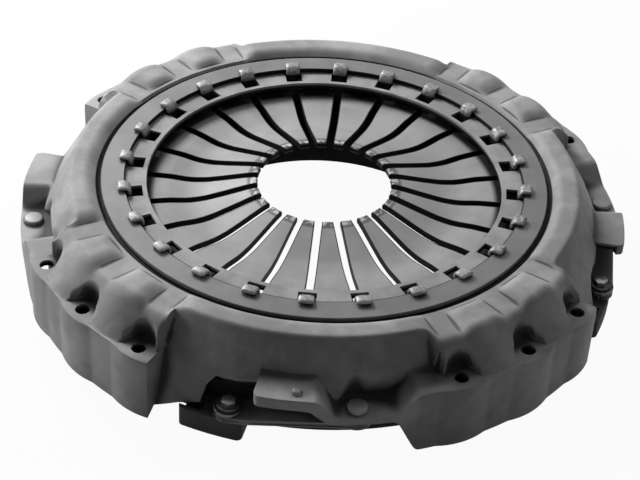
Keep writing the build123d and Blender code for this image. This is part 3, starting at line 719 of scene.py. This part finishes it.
def metal(name, light, dark, metallic, rough):
    """Satin metal before its edge marks and painted shade: slow blotches between two greys, and a fine grain
    in gloss and surface.
    """
    finish = Finish(name, Metallic=metallic, Specular_IOR_Level=0.05)
    blotches = finish.noise(16.0, 5.0, 0.6)
    streaks = finish.noise(70.0, 3.0, 0.5)
    fine = finish.noise(900.0, 2.0, 0.5)
    colour = finish.mix(finish.band(blotches * 0.7 + streaks * 0.3, 0.40, 0.62), grey(dark), grey(light))
    finish.use(Roughness=rough + (streaks - 0.5) * 0.2 + (fine - 0.5) * 0.1)
    finish.bump(fine * 0.5 + streaks * 0.5, 0.10, 0.0006)
    return finish, colour, fine


def pointed(finish, fine, low, high):
    """1 on edges that stand proud, broken up by the grain."""
    turn = finish.node("ShaderNodeNewGeometry", output="Pointiness")
    return finish.band(turn + (fine - 0.5) * 0.03, low, high)


def cover_steel():
    """Pressed steel: soft upright bands on the skirt; creases and hollows darkened as painted shade; sharp
    edges lightened, partly as rubbed metal and partly as a painted highlight; and painted shade, black, in
    the groove round the clamping ring and on the inner face of the sheet."""
    finish, colour, fine = metal("cover_steel", 0.32, 0.22, 0.03, 0.54)
    radius, height = finish.radius(), finish.height()
    bands = finish.band(finish.noise(22.0, 3.0, 0.5, UPRIGHT), 0.42, 0.60)
    on_skirt = 1 - finish.band(height, *SKIRT_TOP_Z)
    colour = finish.mix(bands * on_skirt * 0.35, colour, grey(0.34))
    # Painted shade: small creases on the crown and wall are darkened to near black, as if shade fell in them.
    painted_crease_shade = finish.band(finish.kept("crease"), 0.05, 0.30) * finish.band(radius, *CREASE_SHADE_R)
    painted_crease_shade = painted_crease_shade * finish.band(height, *CREASE_SHADE_Z)
    colour = finish.mix(painted_crease_shade * 0.75, colour, grey(0.03))
    # Painted shade: broad hollows, such as the pockets behind the bolts and the recess by the rivet, are
    # darkened to near black.
    painted_hollow_shade = finish.band(finish.kept("hollow"), 0.4, 3.6) * finish.band(radius, *HOLLOW_SHADE_R)
    colour = finish.mix(painted_hollow_shade * 0.9, colour, grey(0.03))
    # Sharp edges lightened: partly rubbed metal, partly a painted highlight where a rounded edge would catch
    # the light.
    rubbed_edge_and_painted_highlight = finish.band(finish.kept("wear") + (fine - 0.5) * 0.08, 0.22, 0.36)
    colour = finish.mix(rubbed_edge_and_painted_highlight * 0.7, colour, grey(0.5))
    # Painted shade: black in the groove round the clamping ring, where shade falls, and on the inner face of
    # the sheet, which lies in shade.
    groove = finish.band(radius, *GROOVE_SHADE_IN_R) * (1 - finish.band(radius, *GROOVE_SHADE_OUT_R))
    dark = groove.most(finish.band(finish.kept("inside"), 0.25, 0.6))
    finish.use(Base_Color=finish.mix(dark, colour, grey(0.008)), Metallic=(1 - dark) * 0.03)
    return finish


def plain_steel(name, light, dark, metallic, rough, rubbed_edge_and_painted_highlight):
    """Satin metal with bright edges, partly rubbed metal and partly a painted highlight."""
    finish, colour, fine = metal(name, light, dark, metallic, rough)
    # Proud edges lightened: partly rubbed metal, partly a painted highlight.
    finish.use(Base_Color=finish.mix(pointed(finish, fine, 0.53, 0.60) * 0.75, colour, grey(rubbed_edge_and_painted_highlight)))
    return finish


def ring_steel():
    """Clamping ring: plain, with painted shade, black, on the side that faces the lugs."""
    finish, colour, _ = metal("ring_steel", 0.18, 0.15, 0.15, 0.48)
    # Painted shade: the inner side of the ring, which faces the lugs and lies in shade, is black.
    side = 1 - finish.band(finish.radius(), *RING_SIDE_SHADE_R)
    finish.use(Base_Color=finish.mix(side, colour, grey(0.008)), Metallic=(1 - side) * 0.15)
    return finish


def lug_steel():
    """Support ring and its lugs: light mottled heads, and painted shade, black, underneath them and low on
    the legs.
    """
    finish, colour, _ = metal("lug_steel", 0.24, 0.13, 0.3, 0.42)
    mottled = finish.band(finish.noise(420.0, 2.0, 0.6), 0.42, 0.62)
    colour = finish.mix(mottled * 0.6, colour, grey(0.34))
    # Painted shade: faces that look down, and the legs below the heads, are black.
    under = 1 - finish.band(finish.upward(), -0.4, 0.0)
    dark = under.most(1 - finish.band(finish.height(), *LUG_LEG_SHADE_Z))
    finish.use(Base_Color=finish.mix(dark, colour, grey(0.012)), Metallic=(1 - dark) * 0.3)
    return finish


def spring_steel():
    """Diaphragm spring: blotchy finger tips, partly rubbed metal and partly lightened as painted light, with
    a line of painted shade round them; and painted shade, black, in and along the slots and under the flange."""
    finish, colour, _ = metal("spring_steel", 0.28, 0.23, 0.12, 0.5)
    radius = finish.radius()
    # Finger tips: blotches of rubbed metal, and a lighter tone that is painted light standing for their
    # bent-down ends.
    tip = 1 - finish.band(radius, *TIP_R)
    mottled = finish.band(finish.noise(300.0, 3.0, 0.6), 0.40, 0.60)
    colour = finish.mix(tip, colour, finish.mix(mottled, grey(0.09), grey(0.40)))
    # Painted shade: a dark line round the tips, where they would bend down.
    painted_tip_shade_line = finish.band(radius, *TIP_SHADE_LINE_IN_R) * (1 - finish.band(radius, *TIP_SHADE_LINE_OUT_R))
    colour = finish.mix(painted_tip_shade_line * 0.6, colour, grey(0.03))
    # Painted shade: upright faces, the slot walls, are black.
    wall = 1 - finish.band(finish.upward(), 0.35, 0.75)
    # Painted shade: a black band along each slot, wider than the slot itself.
    slot = 1 - finish.band(finish.off_pitch(radius), *SLOT_SHADE_SIDE)
    slot = slot * (1 - finish.band(radius, *SLOT_END_SHADE_R))
    # Painted shade: black where the spring lies under the flange.
    shade = finish.band(radius, *FLANGE_SHADE_R)
    dark = wall.most(slot).most(shade)
    finish.use(Base_Color=finish.mix(dark, colour, grey(0.01)), Metallic=(1 - dark) * 0.12)
    return finish


def cast_iron():
    """Raw casting: nearly black and rough, with pits in place of the grain."""
    finish, colour, fine = metal("cast_iron", 0.11, 0.08, 0.0, 0.7)
    finish.bump(finish.noise(420.0, 4.0, 0.65), 0.35, 0.0012)
    # Proud edges a touch lighter: partly rubbed metal, partly a painted highlight.
    finish.use(Base_Color=finish.mix(pointed(finish, fine, 0.54, 0.62) * 0.5, colour, grey(0.12)))
    return finish


def dress(obj, finish):
    """Gives a piece its finish, and no other."""
    obj.data.materials.clear()
    obj.data.materials.append(finish.data)


# ---------------------------------------------------------------- camera, lamps and floor
CAMERA_AT = (0.05656, -1.08800, 0.84519)
CAMERA_ALONG = (-0.04184, 0.79285, -0.60798)
CAMERA_ROLL = 3.2369
CAMERA_LENS, CAMERA_SENSOR = 96.78, 36.0
CAMERA_SIGHT = 20.0  # metres the camera sees
LAMP_AIM = (0, 0, 0.03)
LAMPS = {  # place, size and power
    "key_behind": ((-0.69, 0.92, 0.93), 0.5, 27.0),
    "left": ((-1.23, 0.24, 0.44), 0.5, 12.0),
    "right": ((1.35, -0.35, 0.50), 0.6, 1.5),
    "back_right": ((0.45, 0.95, 1.10), 0.8, 5.0),
}
SKY = 0.03
WHITE = (1, 1, 1, 1)
FLOOR_GREY = (0.5, 0.5, 0.5, 1)
FLOOR_WHITE = 0.95  # share of pure white that the camera sees of the floor; the rest keeps the shadow
FLOOR_HALF, FLOOR_Z = 12.0, -0.0004


def camera():
    """Camera at its place, looking along its line and rolled a little about it."""
    data = bpy.data.cameras.new("camera")
    data.sensor_width, data.lens, data.clip_end = CAMERA_SENSOR, CAMERA_LENS, CAMERA_SIGHT
    eye = bpy.data.objects.new("camera", data)
    bpy.context.collection.objects.link(eye)
    level = Vector(CAMERA_ALONG).to_track_quat("-Z", "Y").to_matrix().to_4x4()
    roll = Matrix.Rotation(math.radians(CAMERA_ROLL), 4, "Z")
    eye.matrix_world = Matrix.Translation(CAMERA_AT) @ level @ roll
    bpy.context.scene.camera = eye


def lamp(name, place, size, power):
    """Soft square lamp that looks at the clutch."""
    data = bpy.data.lights.new(name, "AREA")
    data.size, data.energy = size, power
    obj = bpy.data.objects.new(name, data)
    bpy.context.collection.objects.link(obj)
    obj.location = place
    obj.rotation_euler = (Vector(LAMP_AIM) - Vector(place)).to_track_quat("-Z", "Y").to_euler()


def studio():
    """White surroundings for the camera and for reflections, a dim sky as light, and the lamps."""
    world = bpy.data.worlds.new("studio")
    bpy.context.scene.world = world
    world.use_nodes = True
    sky = Nodes(world.node_tree)
    dim = sky.node("ShaderNodeBackground", {}, {0: WHITE, 1: SKY})
    sky.end("World Output", dim, sky.node("ShaderNodeBackground", {}, {0: WHITE}))
    for name, (place, size, power) in LAMPS.items():
        lamp(name, place, size, power)


def floor():
    """A wide floor just under the clutch: white to the camera, with a trace of its own shadow."""
    corners = np.array([(-1, -1), (1, -1), (1, 1), (-1, 1)]) * FLOOR_HALF
    mesh = bpy.data.meshes.new("floor")
    mesh.from_pydata([(*corner, FLOOR_Z) for corner in corners], [], [(0, 1, 2, 3)])
    ground = bpy.data.objects.new("floor", mesh)
    bpy.context.collection.objects.link(ground)
    finish = Finish("floor", Roughness=0.9, Base_Color=FLOOR_GREY)
    white = finish.node("ShaderNodeEmission", {}, {0: WHITE})
    finish.end("Material Output", Value(finish, finish.shader.outputs[0]), white, FLOOR_WHITE)
    dress(ground, finish)


# ---------------------------------------------------------------- the whole scene
camera()
studio()
floor()
dress(cover(), cover_steel())
dress(rounded("clamping_ring_edged", "clamping_ring", "housing", 0.5), ring_steel())
dress(support_ring(), lug_steel())
wire = plain_steel("wire_steel", 0.12, 0.08, 0.6, 0.4, 0.3)
for node in ("upper_fulcrum_ring", "lower_fulcrum_ring"):
    dress(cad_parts[node], wire)
bright = plain_steel("rivet_steel", 0.17, 0.12, 0.3, 0.42, 0.4)
dress(rounded("rivet_heads", "cover_rivets", "housing", 0.6), bright)
dress(rounded("balance_rivet_edged", "balance_rivet", "housing", 0.4), bright)
iron = cast_iron()
dress(rounded("cast_plate", "pressure_plate", "plate", 0.9), iron)
bolt = plain_steel("bolt_steel", 0.06, 0.03, 0.6, 0.34, 0.5)
dress(rounded("strap_bolts", "plate_bolts", "plate", 0.4), bolt)
dress(rounded("strap_washers", "bolt_washers", "plate", 0.35), bolt)
strap = plain_steel("strap_steel", 0.06, 0.04, 0.3, 0.45, 0.2)
for quarter, side in enumerate(("right", "back", "left", "front")):
    dress(strap_pack(side, 90 * quarter), strap)
spring = spring_steel()
for number in range(1, FINGERS + 1):
    dress(finger(f"{number:02d}"), spring)

bpy.context.scene.view_settings.view_transform = "Standard"
